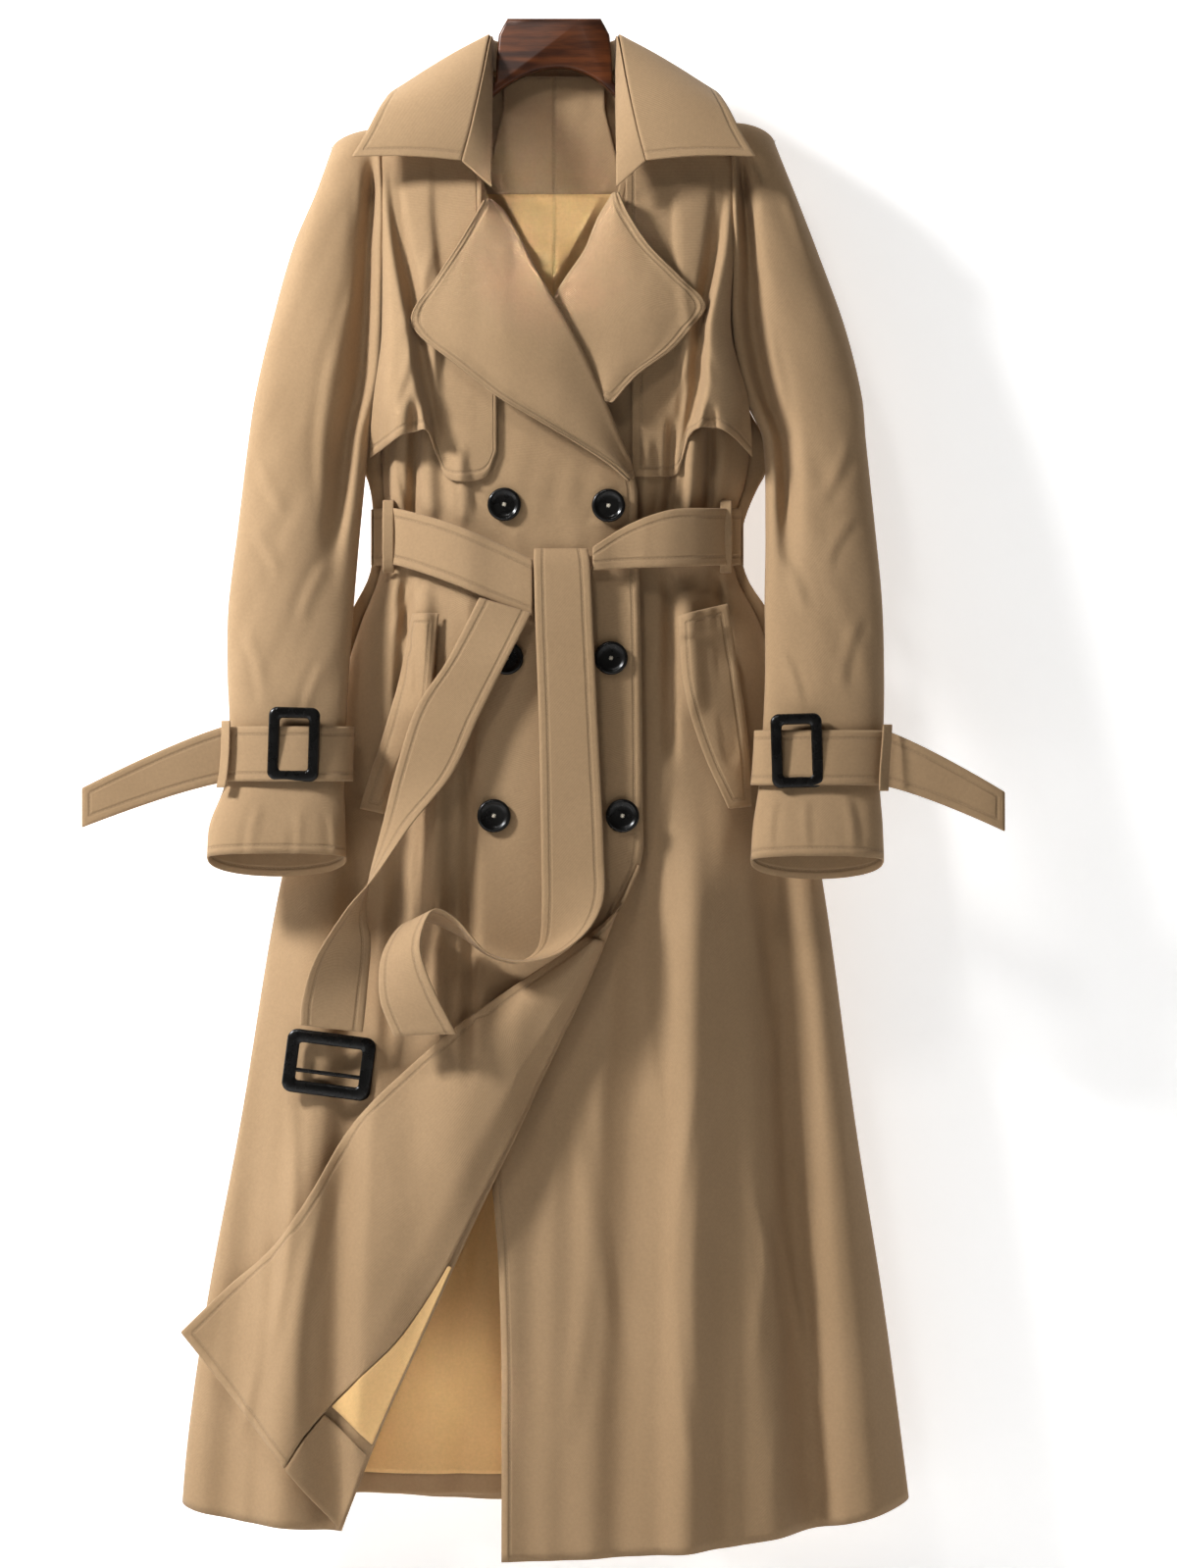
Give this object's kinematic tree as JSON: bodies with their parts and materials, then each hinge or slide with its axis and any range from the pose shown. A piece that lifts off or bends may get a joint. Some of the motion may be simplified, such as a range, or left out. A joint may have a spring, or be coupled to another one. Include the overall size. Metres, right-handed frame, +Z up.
{
  "type": "trench coat on a wooden hanger",
  "caption": "Long beige double-breasted trench coat on a wooden hanger, belt tied in front, buckled cuff straps, lower right front turned back.",
  "frame": {"origin": "middle of the hanger's flat top, where a hook or a hand holds it", "axes": "+Z up, the coat's front faces -Y, +X to the right as seen from the front"},
  "size_m": [0.7221, 0.1545, 1.219],
  "materials": {
    "cloth": "matt beige cotton twill",
    "lining": "smooth orange-beige lining with a soft sheen",
    "wood": "varnished reddish brown wood",
    "trim": "near-black glossy buttons and buckles"
  },
  "bodies": {
    "root": {"hanger": "wood", "back_left": "cloth", "back_right": "cloth", "neck_facing": "cloth", "lining_upper": "lining", "lining_skirt": "lining", "hem_band_back": "cloth", "front_left": "cloth", "front_right": "cloth", "facing_right": "cloth", "lining_turnback": "lining", "hem_band_turnback": "cloth", "storm_flap_right": "cloth", "storm_flap_left": "cloth", "lapel_right": "cloth", "lapel_left": "cloth", "collar_fall": "cloth", "collar_stand": "cloth", "sleeve_upper_right": "cloth", "sleeve_under_right": "cloth", "sleeve_upper_left": "cloth", "sleeve_under_left": "cloth", "cuff_strap_right": "cloth", "cuff_strap_loop_right": "cloth", "cuff_strap_left": "cloth", "cuff_strap_loop_left": "cloth", "pocket_welt_right": "cloth", "pocket_welt_left": "cloth", "button_1": "trim", "button_2": "trim", "button_3": "trim", "button_4": "trim", "button_5": "trim", "button_6": "trim", "belt_front_right": "cloth", "belt_front_left": "cloth", "belt_back": "cloth", "belt_tail_long": "cloth", "belt_tail_short": "cloth", "belt_loop_right": "cloth", "belt_loop_left": "cloth", "cuff_buckle_right": "trim", "cuff_buckle_left": "trim", "belt_buckle": "trim"}
  },
  "joints": []
}
